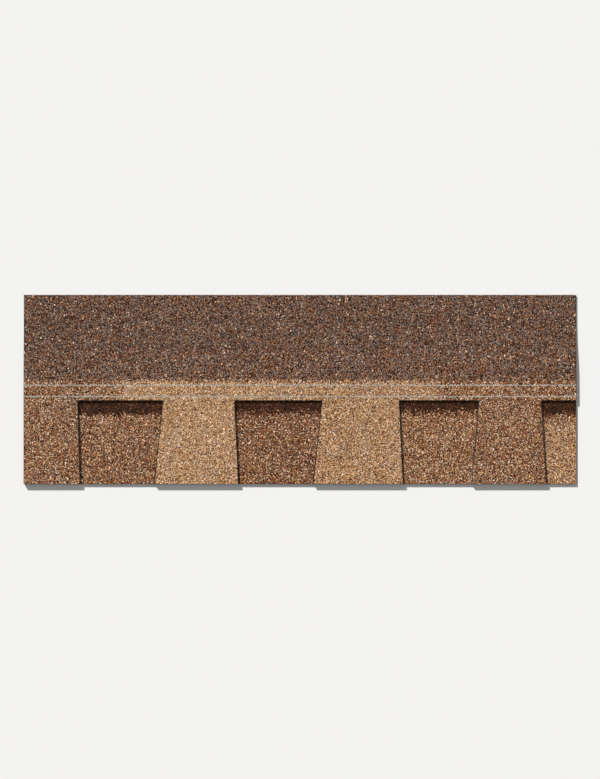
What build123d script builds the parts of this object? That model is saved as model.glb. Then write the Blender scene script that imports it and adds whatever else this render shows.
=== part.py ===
"""Laminated asphalt strip shingle, in millimetres.

A sheet with flared tabs is bonded on a plain backing strip. The shingle lies flat, granules up:
the butt edge is at the front (-Y), and the headlap comes down to the ground behind the backing.
The origin is under the middle of the strip, at ground level.
"""
from math import atan2, ceil, degrees, radians, sin, tan
import os

from build123d import *

# The strip
length = 984.0
width = 337.0  # from the butt edge to the rear edge of the headlap
exposure = 143.0  # weathering depth, from the butt edge
sheet_thickness = 2.4  # mat, asphalt coating and granules of either sheet

# Tabs and the cut-outs that follow them, left to right, along the butt edge
tab_widths = (101.0, 151.0, 161.0, 134.0)
cutout_widths = (131.0, 132.0, 121.0, 137.0)

# Lean of each cut-out's two sides, in degrees: the tabs flare, so it narrows towards its mouth
left_leans = (1.7, 2.7, 2.7, 3.4)
right_leans = (6.0, 6.0, 5.0, 5.6)
cutout_cover = 6.0  # how far a cut-out runs on behind the exposure
root_radius = 3.0  # inner corners of a cut-out
tip_radius = 1.5  # die-cut corners of a tab

# Backing strip
bond_width = 29.0  # how far the backing runs on behind the cut-outs

# Headlap
settle_run = 120.0  # over which it comes down from the backing to the ground

# Self-seal dashes under the butt edge
seal_height = 0.6
seal_width = 8.0
seal_length = 60.0
seal_gap = 18.0
seal_setback = 12.0  # from the butt edge to the dashes
seal_end_margin = 15.0  # least bare length at each end of the row
seal_chamfer = 0.25  # round the lower edge of a dash

# Release film under the rear edge
film_thickness = 0.05
film_width = 30.0
film_setback = 4.0  # from the rear edge to the film

# Worked out from the above
cutout_depth = exposure + cutout_cover
backing_width = cutout_depth + bond_width
backing_top = seal_height + sheet_thickness
seal_pitch = seal_length + seal_gap
seal_count = int((length - 2 * seal_end_margin + seal_gap) // seal_pitch)

# Both sketch planes have their origin at the left end of the butt edge
plan = Plane(origin=(-length / 2, -width / 2, 0))
profile = Plane(origin=plan.origin, x_dir=(0, 1, 0), z_dir=(1, 0, 0))


def save(piece, name):
    """Label a finished piece and write it to its own file."""
    piece.label = name
    export_step(piece, f"parts/{name}.step")


def cutout_outlines():
    """Corners of each cut-out, from its mouth round its root. The die's pattern repeats along the strip."""
    x = 0
    pattern = list(zip(tab_widths, cutout_widths, left_leans, right_leans))
    repeats = ceil(length / (sum(tab_widths) + sum(cutout_widths)))
    for tab, mouth, left_lean, right_lean in pattern * repeats:
        left = x + tab
        right = left + mouth
        if left < length:
            root_left = left - cutout_depth * tan(radians(left_lean))
            root_right = right + cutout_depth * tan(radians(right_lean))
            yield (left, 0), (right, 0), (root_right, cutout_depth), (root_left, cutout_depth)
        x = right


os.makedirs("parts", exist_ok=True)

# Backing strip: plain and full-length, flush with the tabs along the butt edge
with BuildPart() as backing_strip:
    with BuildSketch(plan.offset(seal_height)):
        Rectangle(length, backing_width, align=Align.MIN)
    extrude(amount=sheet_thickness)
save(backing_strip.part, "backing_strip")

# Top sheet: flat over the backing, then two equal arcs bring it down to a flat landing
drop = backing_top - film_thickness
settle_angle = 2 * degrees(atan2(drop, settle_run))
settle_radius = settle_run / (2 * sin(radians(settle_angle)))

with BuildPart() as top_sheet:
    with BuildSketch(profile):
        with BuildLine():
            over_backing = Line((0, backing_top), (backing_width, backing_top))
            leave = JernArc(over_backing @ 1, over_backing % 1, settle_radius, -settle_angle)
            land = JernArc(leave @ 1, leave % 1, settle_radius, settle_angle)
            Line(land @ 1, (width, film_thickness))
            offset(amount=sheet_thickness, side=Side.LEFT)
        make_face()
    extrude(amount=length)

    with BuildSketch(plan.offset(backing_top)) as openings:
        for outline in cutout_outlines():
            Polygon(*outline, align=None)
        fillet(openings.vertices().group_by(Axis.Y)[-1], root_radius)
    extrude(amount=sheet_thickness, mode=Mode.SUBTRACT)

    tips = top_sheet.edges().filter_by(Axis.Z).group_by(Axis.Y)[0]
    fillet(tips.filter_by_position(Axis.X, -length / 2, length / 2, inclusive=(False, False)), tip_radius)
save(top_sheet.part, "top_sheet")

# Self-seal dashes: flattened beads, evenly spaced along the strip
row_length = seal_count * seal_pitch - seal_gap
for number in range(seal_count):
    middle = (length - row_length + seal_length) / 2 + number * seal_pitch
    with BuildPart() as seal_dash:
        with BuildSketch(plan):
            with Locations((middle, seal_setback + seal_width / 2)):
                SlotOverall(seal_length, seal_width)
        extrude(amount=seal_height)
        chamfer(seal_dash.edges().group_by(Axis.Z)[0], seal_chamfer)
    save(seal_dash.part, f"seal_dash_{number + 1:02d}")

# Release film: lies flat under the landing
with BuildPart() as release_film:
    with BuildSketch(plan):
        with Locations((0, width - film_setback - film_width)):
            Rectangle(length, film_width, align=Align.MIN)
    extrude(amount=film_thickness)
save(release_film.part, "release_film")
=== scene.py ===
import bmesh
import bpy
import numpy as np
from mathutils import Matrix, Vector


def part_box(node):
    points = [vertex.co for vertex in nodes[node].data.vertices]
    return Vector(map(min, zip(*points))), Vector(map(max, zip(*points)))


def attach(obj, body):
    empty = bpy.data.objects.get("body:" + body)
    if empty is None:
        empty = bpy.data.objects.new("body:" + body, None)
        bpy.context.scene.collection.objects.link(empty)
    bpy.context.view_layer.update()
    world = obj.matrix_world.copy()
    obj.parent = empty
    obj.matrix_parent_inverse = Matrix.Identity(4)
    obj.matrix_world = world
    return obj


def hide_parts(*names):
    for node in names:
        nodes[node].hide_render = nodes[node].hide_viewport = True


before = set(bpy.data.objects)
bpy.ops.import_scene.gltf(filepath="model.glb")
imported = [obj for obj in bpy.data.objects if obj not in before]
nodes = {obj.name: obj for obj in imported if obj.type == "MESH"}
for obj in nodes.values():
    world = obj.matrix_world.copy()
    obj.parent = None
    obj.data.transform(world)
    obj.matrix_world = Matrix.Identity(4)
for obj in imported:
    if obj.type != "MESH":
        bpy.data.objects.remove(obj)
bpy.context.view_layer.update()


# Backing strip: the plain lower sheet of the laminate, a glass mat soaked in asphalt and slit from a
# wide web. Its top is lower in the cut-outs by the height of the granules there, its cut edges show the
# mat as a pale line, and its underside is dusted with fine sand, so that bundled strips don't stick.
ASPHALT = "#1c1714"
MAT = "#6a6154"
SAND = "#8c857b"
DUSTED_ASPHALT = "#3a3531"
SAND_GRAIN = 0.0008  # drawn two to three times as coarse as the real sand, or it wouldn't show
SAND_HEIGHT = 0.0003
BARE, SANDED = 0.3, 0.75  # the grain's noise is bare asphalt below the one and all sand above the other
DUST_PATCH = 0.08
DUST_SWING = 0.12  # how far that noise is higher in a sandier patch and lower in a barer one
UNDERSIDE_FROM, UNDERSIDE_TO = -0.6, -0.8  # upward part of a normal, where the dust begins and is full
MAT_STREAK = 0.004
MAT_DEPTH = 0.45  # of the sheet's thickness, from its underside
MAT_SHARE = 0.12  # of the thickness, over which the line of mat fades out to either side
MERGE = 0.000001  # points of a sheet that lie closer than this become one


def linear(colour):
    """sRGB hex as linear RGBA: each channel is ((c + 0.055) / 1.055) ** 2.4, or c / 12.92 near black."""
    c = np.array([int(colour[i:i + 2], 16) for i in (1, 3, 5)]) / 255
    return (*np.where(c <= 0.04045, c / 12.92, ((c + 0.055) / 1.055) ** 2.4), 1.0)


def add(tree, kind, inputs=(), **settings):
    """Adds a shader node with its settings, and sets or links its inputs, each by its name or number.
    A Mix node's two colours are its inputs 6 and 7, and their mixture is its output 2."""
    made = tree.nodes.new("ShaderNode" + kind)
    for name, value in settings.items():
        setattr(made, name, value)
    for socket, value in dict(inputs).items():
        if isinstance(value, bpy.types.NodeSocket):
            tree.links.new(value, made.inputs[socket])
        else:
            made.inputs[socket].default_value = value
    return made


def new_material(name, roughness, specular):
    """An empty material with one Principled shader: the material, its node tree and the shader."""
    made = bpy.data.materials.new(name)
    made.use_nodes = True
    shader = made.node_tree.nodes["Principled BSDF"]
    shader.inputs["Roughness"].default_value = roughness
    shader.inputs["Specular IOR Level"].default_value = specular
    return made, made.node_tree, shader


def dusted_asphalt_sheet(name, low=None, high=None):
    """Asphalt-soaked glass mat, rolled and slit: matt black with a pale line of mat in the cut edges,
    and grey fine sand on the underside. Depth in the sheet is the height from low to high, and a bent
    sheet gives it as the attribute "depth" instead."""
    sheet, tree, shader = new_material(name, roughness=0.8, specular=0.35)
    place = add(tree, "TexCoord").outputs["Object"]
    if high is None:
        depth = add(tree, "Attribute", attribute_name="depth").outputs["Fac"]
    else:
        height = add(tree, "SeparateXYZ", {"Vector": place}).outputs["Z"]
        depth = add(tree, "MapRange", {"Value": height, "From Min": low, "From Max": high}).outputs[0]
    off = add(tree, "Math", {0: depth, 1: MAT_DEPTH}, operation="SUBTRACT").outputs[0]
    off = add(tree, "Math", {0: off}, operation="ABSOLUTE").outputs[0]
    line = add(tree, "MapRange", {"Value": off, "From Min": MAT_SHARE, "From Max": 0.0}).outputs[0]
    streak = add(tree, "TexNoise", {"Vector": place, "Scale": 1 / MAT_STREAK, "Detail": 3.0}).outputs[0]
    line = add(tree, "Math", {0: line, 1: streak}, operation="MULTIPLY").outputs[0]
    edge = add(tree, "Mix", {0: line, 6: linear(ASPHALT), 7: linear(MAT)}, data_type="RGBA").outputs[2]
    grain = add(tree, "TexNoise", {"Vector": place, "Scale": 1 / SAND_GRAIN, "Detail": 1.0}).outputs[0]
    patch = add(tree, "TexNoise", {"Vector": place, "Scale": 1 / DUST_PATCH, "Detail": 4.0}).outputs[0]
    swing = add(tree, "MapRange", {"Value": patch, "To Min": -DUST_SWING, "To Max": DUST_SWING}).outputs[0]
    dust = add(tree, "Math", {0: grain, 1: swing}, operation="ADD").outputs[0]
    dust = add(tree, "MapRange", {"Value": dust, "From Min": BARE, "From Max": SANDED}).outputs[0]
    back = add(tree, "Mix", {0: dust, 6: linear(DUSTED_ASPHALT), 7: linear(SAND)}, data_type="RGBA")
    normal = add(tree, "NewGeometry").outputs["Normal"]
    facing = add(tree, "SeparateXYZ", {"Vector": normal}).outputs["Z"]
    down = add(tree, "MapRange", {"Value": facing, "From Min": UNDERSIDE_FROM, "From Max": UNDERSIDE_TO})
    colour = add(tree, "Mix", {0: down.outputs[0], 6: edge, 7: back.outputs[2]}, data_type="RGBA").outputs[2]
    tree.links.new(colour, shader.inputs["Base Color"])
    rough = add(tree, "Bump", {"Height": grain, "Distance": SAND_HEIGHT}).outputs[0]
    tree.links.new(rough, shader.inputs["Normal"])
    return sheet


TAB_WIDTHS = (0.101, 0.151, 0.161, 0.134)  # along the butt edge, left to right
CUTOUT_WIDTHS = (0.131, 0.132, 0.121, 0.137)  # each follows its tab
LEANS = ((-1.7, 6.0), (-2.7, 6.0), (-2.7, 5.0), (-3.4, 5.6))  # of a cut-out's left and right side
CUTOUT_DEPTH = 0.149
COAT = 0.0005  # of the sheet's thickness is granules

strip_low, strip_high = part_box("backing_strip")
sheet_low, sheet_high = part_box("top_sheet")
butt = sheet_low.y
ends = (sheet_low.x, sheet_high.x)
backing_width = strip_high.y - butt
mouths = ends[0] + np.cumsum(np.stack([TAB_WIDTHS, CUTOUT_WIDTHS], 1)).reshape(-1, 2)
slopes = np.tan(np.radians(LEANS))


def cutout_side(number, hand, distance):
    """x of a cut-out's left (hand 0) or right (hand 1) side: its mouth's corner + distance x tan(lean)."""
    return np.minimum(mouths[number, hand] + distance * slopes[number, hand], ends[1])


def strip_line(distance, bed):
    """Points across the strip's upper face, at a distance from the butt edge. They step down to the bed's
    height at each cut-out's left side and up again at its right one; the last bed runs out of the end."""
    steps = np.repeat(cutout_side(slice(None), slice(None), distance), 2).reshape(-1, 4)
    heights = np.broadcast_to([strip_high.z, bed, bed, strip_high.z], steps.shape)
    x = np.append(ends[0], steps.ravel()[:-1])
    z = np.append(strip_high.z, heights.ravel()[:-1])
    return np.stack([x, np.full_like(x, butt + distance), z], 1)


# Four lines across carry the upper face. The middle two are at the same distance: at a cut-out its rear
# wall stands between them, and elsewhere they merge. Borders close the strip all round and below.
bed = strip_high.z - COAT
lines = np.stack([strip_line(0, bed), strip_line(CUTOUT_DEPTH, bed),
                  strip_line(CUTOUT_DEPTH, strip_high.z), strip_line(backing_width, strip_high.z)])
index = np.arange(lines.shape[0] * lines.shape[1]).reshape(lines.shape[:2])
quads = np.stack([index[:-1, :-1], index[:-1, 1:], index[1:, 1:], index[1:, :-1]], -1).reshape(-1, 4)
feet = index.size + np.arange(4)  # front left, front right, rear right, rear left
floor_points = lines[[0, 0, -1, -1], [0, -1, -1, 0]] * (1, 1, 0) + (0, 0, strip_low.z)
borders = [[*index[0, ::-1], feet[0], feet[1]], [*index[::-1, -1], feet[1], feet[2]],
           [*index[-1], feet[2], feet[3]], [*index[:, 0], feet[3], feet[0]], feet[::-1].tolist()]
mesh = bpy.data.meshes.new("backing_strip_mat")
mesh.from_pydata([*lines.reshape(-1, 3).tolist(), *floor_points.tolist()], [], [*quads.tolist(), *borders])
welded = bmesh.new()
welded.from_mesh(mesh)
bmesh.ops.remove_doubles(welded, verts=welded.verts, dist=MERGE)
welded.to_mesh(mesh)
welded.free()
mesh.materials.append(dusted_asphalt_sheet("asphalt_backing_sheet", strip_low.z, strip_high.z))
strip = bpy.data.objects.new("backing_strip_mat", mesh)
bpy.context.scene.collection.objects.link(strip)
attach(strip, "root")
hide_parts("backing_strip")


# Granules in the cut-outs: crushed rock with a coloured ceramic skin fired on, 0.5 to 1.7 mm across,
# dropped on the hot asphalt of the backing strip in blends and pressed in. At the rear of each cut-out
# a band of dark granules is laid across the strip, a drawn shadow that makes the laminate look thicker.
# The band is partly painted shade. Its granules are darker than the real band's, standing for the shade
# that a strip laid above it would cast, and it ends about where that shade would end.
TIP_RADIUS = 0.0015
TUCK = 0.0005  # how far the granules run on under the top sheet
RIM = 0.0003  # bare asphalt along the strip's own edges

STEP = 0.00098  # between mesh points: granules come out 1.7 mm apart, the coarse end of the real grade
ROW_PITCH = np.sqrt(0.75)  # rows of points are so many steps apart, the height of an even triangle
ROW_SHIFT = 0.25  # of a step, to the right and left by turns, so that neighbours differ by half a step
JITTER = 0.24  # of a step
SIZE_PUSH = 0.28  # of a foot's distance from its granule's top
SWAY, SWAY_ROWS = 0.6, 7  # how many steps the rows of points sway, and over how many
RAGGED = 0.0004  # how far the points of a border stand back from it at most
UNFOLDINGS, LEAST_AREA = 40, 0.12  # LEAST_AREA is a share of an even triangle's
TIP_HEIGHTS = (0.00026, 0.00042)  # of a granule's top above the asphalt
TIP_GROWTH = 0.00006  # by which the largest are higher still and the smallest lower
SEAT_HEIGHTS = (-0.00008, 0.00010)  # of a granule's foot
SUNK = 0.0003  # how deep the coat's underside lies in the asphalt
LAPPED_DIP = SUNK / 2  # how deep a border lies where it dips under the next coat
CRISP_ANGLE = 0.5  # edges between faces that turn by more than this, in radians, look broken, not worn
MAP_SKIRTS = 8  # how many of the coat's edge heights are kept free in its flat map
EVENNESS = 0.38  # how far a granule's draw makes up for those round it: mixed well, they lie evenly

GRANULES = {
    "cream": "#e5c9ac",
    "tan": "#c3986c",
    "mauve": "#867469",
    "brown": "#956747",
    "rust": "#7d482e",
    "umber": "#4a2d1b",
    "charcoal": "#1e1510",
}

# Shares of the granules above, in that order
CUTOUT_BLENDS = (
    (8, 17, 2, 25, 23, 15, 10),
    (8, 12, 2, 25, 25, 16, 12),
    (9, 21, 1, 26, 22, 14, 8),
    (11, 41, 1, 25, 11, 7, 4),
)
# The dark band's blend is darker than the real band's granules, as painted shade, and the starts and fades
# below follow that painted shade.
BAND_AND_PAINTED_SHADE_BLEND = (0, 0, 0, 1, 8, 54, 37)
SHADOW_STARTS = (0.1235, 0.1260, 0.1270, 0.1240)  # from the butt edge, where half the granules are dark
SHADOW_FADES = (0.009, 0.020, 0.020, 0.016)
SHADOW_WAVES = (0.013, 0.024, 0.045)
SHADOW_WAVE_HEIGHT = 0.0010
BROWN_END = 0.103  # the fourth cut-out's tan drop begins here, under a browner one
BROWN_FADE = 0.012


def corner_inset(distance, radius):
    """How far a rounded corner draws the side in: radius - sqrt(radius^2 - (radius - distance)^2)."""
    short = np.clip(radius - distance, 0, radius)
    return radius - np.sqrt(radius ** 2 - short ** 2)


def fade(value, low, high):
    """0 below low and 1 above high, with 3 s^2 - 2 s^3 between them."""
    s = np.clip((value - low) / (high - low), 0, 1)
    return s * s * (3 - 2 * s)


def wander(along, waves, height, rng):
    """A line that wanders to either side: the sum of sine waves of those lengths, each of that height."""
    return sum(height * np.sin(2 * np.pi * (along / wave + rng.random())) for wave in waves)


def clumps(x, y, size, rng):
    """Smooth noise of spread 1: normal random values on a square grid of that size, blended between the
    four nearest by their shares and divided by the root of the sum of the squared shares."""
    column, row = (x - x.min()) / size, (y - y.min()) / size
    i, j = column.astype(int), row.astype(int)
    s, t = column - i, row - j
    grid = rng.normal(size=(j.max() + 2, i.max() + 2))
    corners = (((1 - s) * (1 - t), grid[j, i]), (s * (1 - t), grid[j, i + 1]),
               ((1 - s) * t, grid[j + 1, i]), (s * t, grid[j + 1, i + 1]))
    return sum(share * value for share, value in corners) / np.sqrt(sum(share ** 2 for share, _ in corners))


def granule_fans(i, j):
    """Rows of points in columns i and rows j, every second row half a step on, cut into triangles. Every
    third point, where i - j // 2 - j divides by 3, is the top of a granule, and the six round it are its
    foot, so each granule is a fan of six triangles, and is known by its top. Gives the points' indices,
    which of them are tops, the triangles, and the granule that each triangle belongs to."""
    index = np.arange(i.size).reshape(i.shape)
    a, b, c, d = (k.ravel() for k in (index[:-1, :-1], index[:-1, 1:], index[1:, :-1], index[1:, 1:]))
    even = (j[:-1, :-1] % 2 == 0).ravel()[:, None]
    first = np.where(even, np.stack([a, b, c], 1), np.stack([a, d, c], 1))
    second = np.where(even, np.stack([b, d, c], 1), np.stack([a, b, d], 1))
    triangles = np.concatenate([first, second])
    top = (i - j // 2 - j) % 3 == 0
    granule = triangles[np.arange(len(triangles)), top.ravel()[triangles].argmax(1)]
    return index, top, triangles, granule


def scattered(i, j, inward, triangles, granule, step, rng):
    """Where a coat's points lie, in steps, and each granule's size from -1 to 1. The rows sway and all
    points are jittered, but the points of a border only stand back from it: inward, which is 0 off the
    borders, is 1 or -1 there, whichever way is in. Large granules push their feet out and small ones
    draw them in; a foot is in two triangles of a fan, and each adds half of that. Points round a
    triangle that all this folds or thins go halfway back, again and again."""
    columns, rows = i.max(), j.max()
    regular = np.stack([i + np.where(inward[0], 0, np.where(j % 2, ROW_SHIFT, -ROW_SHIFT)), j])
    inner = np.clip(np.minimum(np.minimum(i, columns - i), np.minimum(j, rows - j)) / SWAY_ROWS, 0, 1)
    sway = [clumps(i.ravel(), j.ravel(), SWAY_ROWS, rng).reshape(i.shape) for _ in range(2)]
    spot = regular + SWAY * inner * np.stack(sway)
    spot += np.where(inward, inward * rng.uniform(0, RAGGED / step, i.shape),
                     rng.uniform(-JITTER, JITTER, spot.shape))
    spot, regular = spot.reshape(2, -1), regular.reshape(2, -1)
    size = rng.uniform(-1, 1, i.size)
    push = np.zeros((i.size, 2))
    for foot in triangles.T:
        np.add.at(push, foot, SIZE_PUSH / 2 * (size[granule] * (spot[:, foot] - spot[:, granule])).T)
    spot += push.T * (~inward.any(0)).ravel()
    for _ in range(UNFOLDINGS):
        (au, bu, cu), (av, bv, cv) = spot[:, triangles].transpose(0, 2, 1)
        area = (bu - au) * (cv - av) - (cu - au) * (bv - av)
        thin = np.unique(triangles[area < LEAST_AREA])
        spot[:, thin] = (spot[:, thin] + regular[:, thin]) / 2
    return spot.reshape(2, *i.shape), size.reshape(i.shape)


def closed_below(index):
    """The faces that close a coat: low edges at its left and right, row by row, its underside, and its
    front and rear. The low points follow the coat's own, first the left ones and then the right ones."""
    rows = len(index) - 1
    left, right = index[:, 0], index[:, -1]
    low_left = index.size + np.arange(rows + 1)
    low_right = low_left + rows + 1
    left_wall = np.stack([left[:-1], left[1:], low_left[1:], low_left[:-1]], 1)
    right_wall = np.stack([right[1:], right[:-1], low_right[:-1], low_right[1:]], 1)
    under = np.stack([low_left[:-1], low_left[1:], low_right[1:], low_right[:-1]], 1)
    front_wall = np.array([low_left[0], low_right[0], *index[0, ::-1]])
    rear_wall = np.array([*index[-1], low_right[-1], low_left[-1]])
    return np.concatenate([left_wall, right_wall]), under, front_wall, rear_wall


def drawn_colours(blends, tops, triangles, granule, rng):
    """Each granule's colour, as its number in GRANULES. A granule draws a random number and takes off
    EVENNESS times the mean of the draws round it. All the draws are ranked from 0 to 1, and the rank
    falls in one colour's part of the summed shares, which blends gives for each granule."""
    corner, owner = triangles.ravel(), np.repeat(granule, 3)
    count = corner.max() + 1
    draw = rng.normal(size=count)
    around = np.bincount(corner, draw[owner]) / np.bincount(corner)
    near = np.bincount(owner, around[corner], count) / np.bincount(owner, minlength=count).clip(1)
    draw = draw[tops] - EVENNESS * near[tops]
    rank = (draw.argsort().argsort() + 0.5) / tops.size
    chance = np.cumsum(blends, 1)
    colour = np.zeros(count)
    colour[tops] = (chance < rank[:, None] * chance[:, -1:]).sum(1)
    return colour


def flat_map(points, depth, triangles, walls, under, front_wall, rear_wall):
    """A coat's own map for baked textures, corner by corner: the coat from above, with its low
    edges folded out all round, and its underside as a strip along the map's far side."""
    rows = len(under)
    span = max(points[:, 0].max() - points[:, 0].min(), depth) + MAP_SKIRTS * SUNK
    flat = points[:, :2].copy()
    low_left, low_right = flat[-2 * rows - 2:].reshape(2, rows + 1, 2)
    low_left[:, 0] -= SUNK
    low_right[:, 0] += SUNK
    for low in (low_left, low_right):
        low[0, 1] -= SUNK
        low[-1, 1] += SUNK
    flat = (flat - flat.min(0) + SUNK) / span
    along = (np.arange(rows)[:, None] + [0, 1, 1, 0]).ravel() / rows
    across = 1 - np.tile([1, 1, 0, 0], rows) * SUNK / span
    return np.concatenate([flat[triangles.ravel()], flat[walls.ravel()], np.stack([along, across], 1),
                           flat[front_wall], flat[rear_wall]])


def granule_coat(name, sides, front, rear, step, face, shares, seed, lapped=None):
    """A coat of granules as one closed mesh: scattered fans, laid between the sides so that x is
    left + (right - left) u, with the height of the asphalt plus a random rise. Distances are from the
    butt edge. sides(distance) gives both ends of a row, face(distance) the height of the asphalt,
    shares(x, distance) the blend, and lapped(x, distance) where a border dips under the next coat.
    Returns the piece, and x and distance of the granule that each of its triangles belongs to."""
    rng = np.random.default_rng(seed)
    middle_left, middle_right = sides(np.array([(front + rear) / 2]))
    columns = int((middle_right - middle_left)[0] / step)
    rows = int((rear - front) / (step * ROW_PITCH))
    j, i = np.mgrid[0:rows + 1, 0:columns + 1]
    inward = np.stack([1.0 * (i == 0) - (i == columns), 1.0 * (j == 0) - (j == rows)])
    index, top, triangles, granule = granule_fans(i, j)
    spot, size = scattered(i, j, inward, triangles, granule, step, rng)

    u, v = spot / np.array([columns, rows])[:, None, None]
    distance = front + (rear - front) * v
    left, right = sides(distance)
    x = left + (right - left) * u
    rise = np.where(top, rng.uniform(*TIP_HEIGHTS, i.shape) + TIP_GROWTH * size,
                    rng.uniform(*SEAT_HEIGHTS, i.shape))
    if lapped:
        rise = np.where(inward.any(0) & lapped(x, distance), -LAPPED_DIP, rise)
    grid = np.stack([x, butt + distance, face(distance) + rise], -1)
    low = grid[:, [0, columns]].copy()
    low[..., 2] = face(distance[:, [0, columns]]) - SUNK
    points = np.concatenate([grid.reshape(-1, 3), low[:, 0], low[:, 1]])
    walls, under, front_wall, rear_wall = closed_below(index)
    mesh = bpy.data.meshes.new(name)
    mesh.from_pydata(points.tolist(), [], [*triangles.tolist(), *walls.tolist(), *under.tolist(),
                                           front_wall.tolist(), rear_wall.tolist()])

    x, distance = x.ravel(), distance.ravel()
    tops = np.flatnonzero(top)
    colour = drawn_colours(shares(x[tops], distance[tops]), tops, triangles, granule, rng)
    tone = (colour + 0.5) / len(GRANULES)
    shade = rng.random(index.size)
    plain = len(mesh.polygons) - len(triangles)  # faces without granules: the last colour, evenly shaded
    for label, values, rest in (("tone", tone, 1 - 0.5 / len(GRANULES)), ("shade", shade, 0.5)):
        layer = mesh.attributes.new(label, "FLOAT", "FACE")
        layer.data.foreach_set("value", np.append(values[granule], np.full(plain, rest)))
    cover = np.where(top, 1, np.clip(rng.uniform(*FOOT_COVERS, top.shape), 0, 1))
    layer = mesh.attributes.new("cover", "FLOAT", "POINT")
    layer.data.foreach_set("value", np.append(cover.ravel(), np.zeros(len(points) - index.size)))

    uv = flat_map(points, rear - front, triangles, walls, under, front_wall, rear_wall)
    mesh.uv_layers.new(name="OFBake").uv.foreach_set("vector", uv.ravel())
    mesh.shade_smooth()
    mesh.set_sharp_from_angle(angle=CRISP_ANGLE)
    mesh.materials.append(coated_granules)
    coat = bpy.data.objects.new(name, mesh)
    bpy.context.scene.collection.objects.link(coat)
    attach(coat, "root")
    return coat, x[granule], distance[granule]


# Ceramic-coated granules: fired rock chips, matt, each of one colour with a slightly lighter or darker
# skin, grainy and angular under a lens, with black asphalt between their feet.
SHADES = (0.5, 1.5)  # of a colour, from the darkest granule that has it to the lightest
FLECK = 0.0004
FLECK_SHADES = (0.85, 1.15)
HUE_DRIFT = 0.025  # over which a blend drifts between greyer and redder
SATURATIONS = (0.94, 1.03)
NOISE = (0.3, 0.7)  # between which most of a noise texture lies
FOOT_COVERS = (-0.2, 0.4)  # how well a granule's foot hides the asphalt: at 0 it shows bare, and past
FOOT_FULL = 0.16  # this not at all
FACET = 0.0006
FACET_DEPTH, FACET_STRENGTH = 0.0002, 0.6
coated_granules, tree, shader = new_material("ceramic_coated_granules", roughness=0.85, specular=0.06)
tone = add(tree, "Attribute", attribute_name="tone").outputs["Fac"]
ramp = add(tree, "ValToRGB", {"Fac": tone})
ramp.color_ramp.interpolation = "CONSTANT"
stops = ramp.color_ramp.elements
for number, colour in enumerate(GRANULES.values()):
    stop = stops.new(number / len(GRANULES)) if number else stops[0]
    stop.color = linear(colour)
stops.remove(stops[-1])
shade = add(tree, "Attribute", attribute_name="shade").outputs["Fac"]
shade = add(tree, "MapRange", {"Value": shade, "To Min": SHADES[0], "To Max": SHADES[1]}).outputs[0]
place = add(tree, "TexCoord").outputs["Object"]
fleck = add(tree, "TexNoise", {"Vector": place, "Scale": 1 / FLECK, "Detail": 2.0}).outputs[0]
fleck = add(tree, "MapRange", {"Value": fleck, "From Min": NOISE[0], "From Max": NOISE[1],
                               "To Min": FLECK_SHADES[0], "To Max": FLECK_SHADES[1]}).outputs[0]
bright = add(tree, "Math", {0: shade, 1: fleck}, operation="MULTIPLY").outputs[0]
rock = add(tree, "VectorMath", {0: ramp.outputs["Color"], "Scale": bright}, operation="SCALE").outputs[0]
drift = add(tree, "TexNoise", {"Vector": place, "Scale": 1 / HUE_DRIFT, "Detail": 1.0}).outputs[0]
drift = add(tree, "MapRange", {"Value": drift, "From Min": NOISE[0], "From Max": NOISE[1],
                               "To Min": SATURATIONS[0], "To Max": SATURATIONS[1]}).outputs[0]
rock = add(tree, "HueSaturation", {"Saturation": drift, "Color": rock}).outputs[0]
cover = add(tree, "Attribute", attribute_name="cover").outputs["Fac"]
covered = add(tree, "MapRange", {"Value": cover, "From Min": 0.0, "From Max": FOOT_FULL}).outputs[0]
colour = add(tree, "Mix", {0: covered, 6: linear(ASPHALT), 7: rock}, data_type="RGBA").outputs[2]
tree.links.new(colour, shader.inputs["Base Color"])
facets = add(tree, "TexVoronoi", {"Vector": place, "Scale": 1 / FACET}).outputs["Distance"]
chipped = add(tree, "Bump", {"Height": facets, "Distance": FACET_DEPTH, "Strength": FACET_STRENGTH})
tree.links.new(chipped.outputs[0], shader.inputs["Normal"])


def cutout_floor(number):
    """Both ends of a row of granules on the backing, tucked under the tabs and clear of the strip's end."""
    def sides(distance):
        tip = corner_inset(distance, TIP_RADIUS) + TUCK
        left = cutout_side(number, 0, distance) - tip
        right = cutout_side(number, 1, distance) + tip
        return left, np.minimum(right, ends[1] - RIM)
    return sides


def bed_height(distance):
    """Height of the asphalt in a cut-out: the same everywhere."""
    return np.full_like(distance, bed)


def cutout_shares(number):
    """A cut-out's own blend. The dark band's blend, real dark granules darkened further with painted shade,
    takes over where the band starts.
    """
    def shares(x, distance):
        rng = np.random.default_rng(number)
        start = SHADOW_STARTS[number] + wander(x, SHADOW_WAVES, SHADOW_WAVE_HEIGHT, rng)
        blend = np.array(CUTOUT_BLENDS[number], float)
        if number == len(CUTOUT_BLENDS) - 1:
            brown = fade(distance, BROWN_END, BROWN_END + BROWN_FADE)[:, None]
            blend = (1 - brown) * blend + brown * np.array(CUTOUT_BLENDS[0])
        half = SHADOW_FADES[number] / 2
        dark = fade(distance - start, -half, half)[:, None]
        return (1 - dark) * blend + dark * np.array(BAND_AND_PAINTED_SHADE_BLEND)
    return shares


for number in range(len(CUTOUT_BLENDS)):
    granule_coat(f"cutout_granules_{number + 1}", cutout_floor(number), RIM, CUTOUT_DEPTH + TUCK, STEP,
                 bed_height, cutout_shares(number), seed=10 + number)


# Top sheet: the second sheet, die-cut into flared tabs in front and left whole behind, laid on the
# backing strip along hidden beads of asphalt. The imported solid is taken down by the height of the
# granules, which are pieces of their own; its edges and underside are like the backing's.
SETTLE_RUN = 0.120  # over which the headlap comes down from the backing to the floor
CUT_ANGLE = 0.5  # radians: faces that turn by more meet in a crisp cut edge, and the bend stays smooth
sheet_thickness = strip_high.z - strip_low.z
drop = strip_high.z - sheet_low.z
settle_radius = (SETTLE_RUN ** 2 / 4 + drop ** 2 / 4) / drop


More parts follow.
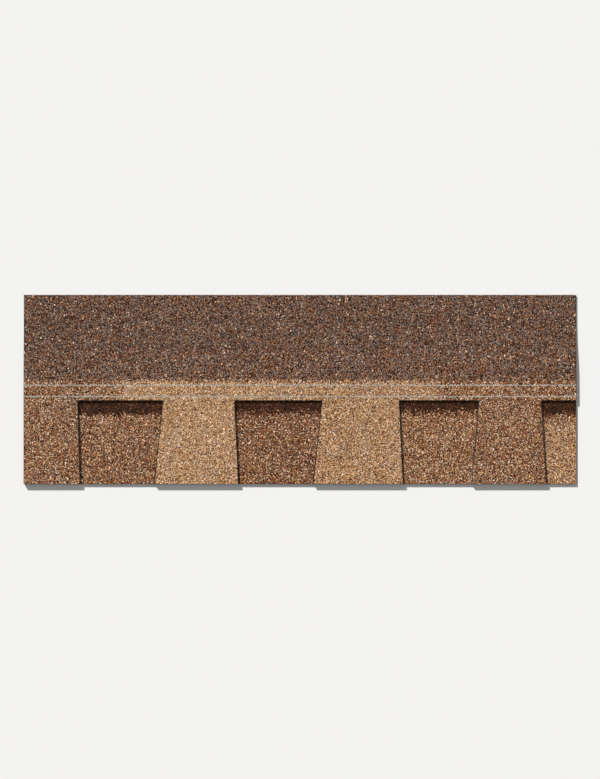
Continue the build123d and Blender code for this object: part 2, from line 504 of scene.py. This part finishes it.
def sheet_top(distance):
    """Height of the asphalt under the top sheet's granules. Past the backing it drops by
    radius - sqrt(radius^2 - run^2) over half the run, and mirrors that over the other half."""
    run = np.clip(distance - backing_width, 0, SETTLE_RUN)
    near = np.minimum(run, SETTLE_RUN - run)
    sink = settle_radius - np.sqrt(settle_radius ** 2 - near ** 2)
    sink = np.where(run > SETTLE_RUN / 2, drop - sink, sink)
    return sheet_high.z - COAT - sink


welded = bmesh.new()
welded.from_mesh(nodes["top_sheet"].data)
bmesh.ops.remove_doubles(welded, verts=welded.verts, dist=MERGE)
mesh = bpy.data.meshes.new("top_sheet_mat")
welded.to_mesh(mesh)
welded.free()
points = np.zeros(len(mesh.vertices) * 3, np.float32)
mesh.vertices.foreach_get("co", points)
points = points.reshape(-1, 3)
upper = points[:, 2] > sheet_top(points[:, 1] - butt) + COAT - sheet_thickness / 2
points[upper, 2] -= COAT
mesh.vertices.foreach_set("co", points.ravel())
mesh.attributes.new("depth", "FLOAT", "POINT").data.foreach_set("value", 1.0 * upper)
mesh.shade_smooth()
mesh.set_sharp_from_angle(angle=CUT_ANGLE)
mesh.materials.append(dusted_asphalt_sheet("asphalt_top_sheet"))
sheet = bpy.data.objects.new("top_sheet_mat", mesh)
bpy.context.scene.collection.objects.link(sheet)
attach(sheet, "root")
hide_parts("top_sheet")


# Granules on the tabs: the same granules as in the cut-outs, dropped on the top sheet before it is cut.
# Each tab has a drop of its own, so that light and dark tabs alternate at random.
TAB_BLENDS = (
    (10, 16, 5, 26, 20, 14, 9),
    (16, 51, 1, 19, 8, 4, 2),
    (13, 46, 1, 22, 9, 6, 3),
    (9, 17, 4, 26, 22, 14, 8),
)
KNIFE_RIM = 0.0012  # bare asphalt along a tab's sides, where the die broke the granules out
LAP = 0.0016  # how far a tab's coat runs on behind the cut-outs, and the headlap's parts overlap


def tab_face(number):
    """Both ends of a row of granules on a tab: its cut sides with the rim off, rounded at the tips."""
    def sides(distance):
        inset = KNIFE_RIM + corner_inset(distance, TIP_RADIUS)
        left = cutout_side(number - 1, 1, distance) + inset if number else ends[0] + RIM + 0 * distance
        return left, cutout_side(number, 0, distance) - inset
    return sides


def tab_shares(number):
    """A tab's blend, the same all over it."""
    return lambda x, distance: np.tile(TAB_BLENDS[number], (len(x), 1))


def tab_lapped(x, distance):
    """True on a tab's rear border, which lies under the front of the headlap's coat."""
    return distance > CUTOUT_DEPTH


for number in range(len(TAB_BLENDS)):
    granule_coat(f"tab_granules_{number + 1}", tab_face(number), RIM, CUTOUT_DEPTH + LAP, STEP,
                 sheet_top, tab_shares(number), seed=20 + number, lapped=tab_lapped)


# Granules on the headlap: behind the cut-outs the tabs' drops run on for a few centimetres, and then a
# plainer, darker blend covers the part that is never seen in use. Two painted lines mark the nail zone.
HEADLAP_BLEND = (2, 2, 28, 14, 10, 28, 16)
HEADLAP_STEP = 0.001
HEADLAP_PIECES = 3
DROP_END = 0.184  # from the butt edge, where the tabs' blends give way to the headlap's
DROP_FADE = 0.006
DROP_TURN = 0.03  # over which one tab's blend turns into the next
rear = sheet_high.y - butt


def headlap_shares(x, distance):
    """Near the cut-outs the nearest tab's blend, turning into the next behind the cut-out's middle."""
    near = np.broadcast_to(np.array(TAB_BLENDS[0], float), (len(x), len(GRANULES)))
    for number in range(1, len(TAB_BLENDS)):
        left, right = (cutout_side(number - 1, hand, CUTOUT_DEPTH) for hand in (0, 1))
        turned = fade(x - (left + right) / 2, -DROP_TURN / 2, DROP_TURN / 2)[:, None]
        near = (1 - turned) * near + turned * np.array(TAB_BLENDS[number])
    plain = fade(distance, DROP_END - DROP_FADE, DROP_END + DROP_FADE)[:, None]
    return (1 - plain) * near + plain * np.array(HEADLAP_BLEND)


def headlap_part(number):
    """Both ends of a row: the strip's ends with the rim off, and straight joints lapped between parts."""
    cuts = np.linspace(ends[0] + RIM, ends[1] - RIM, HEADLAP_PIECES + 1)
    left = cuts[number] - (LAP / 2 if number else 0)
    right = cuts[number + 1] + (LAP / 2 if number < HEADLAP_PIECES - 1 else 0)
    return lambda distance: (left + 0 * distance, right + 0 * distance)


def headlap_lapped(x, distance):
    """True on a tab's root and on the straight joints, not on the strip's own edges or at a cut-out."""
    roots = cutout_side(slice(None), slice(None), CUTOUT_DEPTH)
    open_root = np.any([(x > left - RIM) & (x < right + RIM) for left, right in roots], 0)
    at_end = (np.abs(x) > ends[1] - 2 * RIM) | (distance > rear - 2 * RIM)
    return ~(open_root & (distance < CUTOUT_DEPTH + LAP)) & ~at_end


# Line paint: a thin chalky off-white, rolled on the granules' tops as the web runs through, worn thin.
NAIL_LINES = (0.156, 0.176)  # from the butt edge
LINE_WIDTH = 0.0022
LINE_WAVES = (0.006, 0.011, 0.019)
LINE_WAVE_HEIGHT = 0.0002
LINE_SEED = 7
PAINT = "#c4bdae"
PAINT_WORN = "#857a6c"
PAINT_GRAIN = 0.0007
PAINT_HEIGHT = 0.0001
WORN, WHOLE = 0.35, 0.55  # the grain's noise is worn paint below the one and whole above the other
line_paint, tree, shader = new_material("chalky_line_paint", roughness=0.9, specular=0.3)
place = add(tree, "TexCoord").outputs["Object"]
cover = add(tree, "TexNoise", {"Vector": place, "Scale": 1 / PAINT_GRAIN, "Detail": 2.0}).outputs[0]
cover = add(tree, "MapRange", {"Value": cover, "From Min": WORN, "From Max": WHOLE}).outputs[0]
colour = add(tree, "Mix", {0: cover, 6: linear(PAINT_WORN), 7: linear(PAINT)}, data_type="RGBA").outputs[2]
tree.links.new(colour, shader.inputs["Base Color"])
relief = add(tree, "Bump", {"Height": cover, "Distance": PAINT_HEIGHT}).outputs[0]
tree.links.new(relief, shader.inputs["Normal"])

for number in range(HEADLAP_PIECES):
    coat, x, distance = granule_coat(
        f"headlap_granules_{number + 1}", headlap_part(number), CUTOUT_DEPTH + RIM, rear - RIM,
        HEADLAP_STEP, sheet_top, headlap_shares, seed=30 + number, lapped=headlap_lapped)
    straight = np.array(NAIL_LINES)[:, None]
    nail_lines = straight + wander(x, LINE_WAVES, LINE_WAVE_HEIGHT, np.random.default_rng(LINE_SEED))
    painted = np.zeros(len(coat.data.polygons), np.int32)
    painted[:len(x)] = np.abs(distance - nail_lines).min(0) < LINE_WIDTH / 2
    coat.data.materials.append(line_paint)
    coat.data.polygons.foreach_set("material_index", painted)


# Self-seal dashes: beads of rubber-modified asphalt laid hot on the underside, behind the butt edge.
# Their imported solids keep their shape. Such asphalt is jet black, smooth, faintly rippled and glossy.
SEALANT = "#0e0d0c"
RIPPLE = 0.004
RIPPLE_HEIGHT = 0.0003
SEALANT_ROUGHNESS = (0.25, 0.5)
sealant, tree, shader = new_material("modified_asphalt_sealant", roughness=0.35, specular=0.5)
place = add(tree, "TexCoord").outputs["Object"]
ripple = add(tree, "TexNoise", {"Vector": place, "Scale": 1 / RIPPLE, "Detail": 2.0}).outputs[0]
gloss, dull = SEALANT_ROUGHNESS
rough = add(tree, "MapRange", {"Value": ripple, "To Min": gloss, "To Max": dull}).outputs[0]
tree.links.new(rough, shader.inputs["Roughness"])
shader.inputs["Base Color"].default_value = linear(SEALANT)
bead = add(tree, "Bump", {"Height": ripple, "Distance": RIPPLE_HEIGHT}).outputs[0]
tree.links.new(bead, shader.inputs["Normal"])
for name, dash in nodes.items():
    if name.startswith("seal_dash"):
        dash.data.materials.clear()
        dash.data.materials.append(sealant)


# Release film: a clear plastic tape pressed on the underside near the rear edge, so that the dashes of
# the next strip in a bundle let go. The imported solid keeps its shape; it is glossy and a little creased.
FILM = "#b9b6ae"
FILM_CLARITY = 0.5
FILM_ROUGHNESS = (0.12, 0.35)
CREASE = 0.006
CREASE_STRETCH = 0.3  # of the pattern's scale along the strip, which draws the creases out that way
CREASE_HEIGHT = 0.0002
film, tree, shader = new_material("polyester_release_film", roughness=0.2, specular=0.5)
place = add(tree, "TexCoord").outputs["Object"]
stretched = add(tree, "Mapping", {"Vector": place, "Scale": (CREASE_STRETCH, 1.0, 1.0)}).outputs[0]
crease = add(tree, "TexNoise", {"Vector": stretched, "Scale": 1 / CREASE, "Detail": 3.0}).outputs[0]
gloss, dull = FILM_ROUGHNESS
rough = add(tree, "MapRange", {"Value": crease, "To Min": gloss, "To Max": dull}).outputs[0]
tree.links.new(rough, shader.inputs["Roughness"])
shader.inputs["Base Color"].default_value = linear(FILM)
shader.inputs["Alpha"].default_value = 1 - FILM_CLARITY
creased = add(tree, "Bump", {"Height": crease, "Distance": CREASE_HEIGHT}).outputs[0]
tree.links.new(creased, shader.inputs["Normal"])
nodes["release_film"].data.materials.clear()
nodes["release_film"].data.materials.append(film)


# Floor, light and camera: a plain pale floor, a low key from behind on the left, where the light comes
# from in the photograph, and even light from all round. The camera looks straight down on the strip.
FLOOR = "#f4f3f1"
FLOOR_SIZE = 8.0
FLOOR_LEVEL = -0.0001  # a hair below the dashes, so that no two faces lie in one plane
KEY_DIRECTION = np.array((-1.4, 2.3, 1.0))
KEY_SPREAD = 3  # degrees
KEY_SHARE = 0.72  # of the light on a level face; the rest comes from the world
WORLD_SEEN = 0.9  # how bright the world looks to the camera and in reflections
SENSOR, LENS = 36.0, 85.0  # millimetres
MARGIN = 0.043  # beside each end of the strip

mesh = bpy.data.meshes.new("floor")
half = FLOOR_SIZE / 2
outline = [(-half, -half), (half, -half), (half, half), (-half, half)]
mesh.from_pydata([(x, y, FLOOR_LEVEL) for x, y in outline], [], [(0, 1, 2, 3)])
paper, tree, shader = new_material("plain_paper_floor", roughness=0.9, specular=0.0)
shader.inputs["Base Color"].default_value = linear(FLOOR)
mesh.materials.append(paper)
floor = bpy.data.objects.new("floor", mesh)
bpy.context.scene.collection.objects.link(floor)

direction = KEY_DIRECTION / np.linalg.norm(KEY_DIRECTION)
key = bpy.data.lights.new("key", "SUN")
key.angle = np.radians(KEY_SPREAD)
key.energy = np.pi * KEY_SHARE / direction[2]
lamp = bpy.data.objects.new("key", key)
lamp.rotation_euler = (np.arccos(direction[2]), 0, np.arctan2(direction[0], -direction[1]))
bpy.context.scene.collection.objects.link(lamp)

world = bpy.data.worlds.new("even_light")
world.use_nodes = True
background = world.node_tree.nodes["Background"]
path = add(world.node_tree, "LightPath").outputs
seen = add(world.node_tree, "Math", {0: path["Is Camera Ray"], 1: path["Is Glossy Ray"]}, operation="MAXIMUM")
seen = add(world.node_tree, "Math", {0: seen.outputs[0], 1: path["Is Transmission Ray"]}, operation="MAXIMUM")
level = add(world.node_tree, "MapRange",
            {"Value": seen.outputs[0], "To Min": 1 - KEY_SHARE, "To Max": WORLD_SEEN})
world.node_tree.links.new(level.outputs[0], background.inputs["Strength"])
background.inputs["Color"].default_value = (1, 1, 1, 1)
bpy.context.scene.world = world

camera = bpy.data.objects.new("camera", bpy.data.cameras.new("camera"))
camera.data.sensor_fit = "HORIZONTAL"
camera.data.sensor_width = SENSOR
camera.data.lens = LENS
camera.location = (0, 0, (ends[1] - ends[0] + 2 * MARGIN) * LENS / SENSOR)
bpy.context.scene.collection.objects.link(camera)
bpy.context.scene.camera = camera
bpy.context.scene.view_settings.view_transform = "Standard"
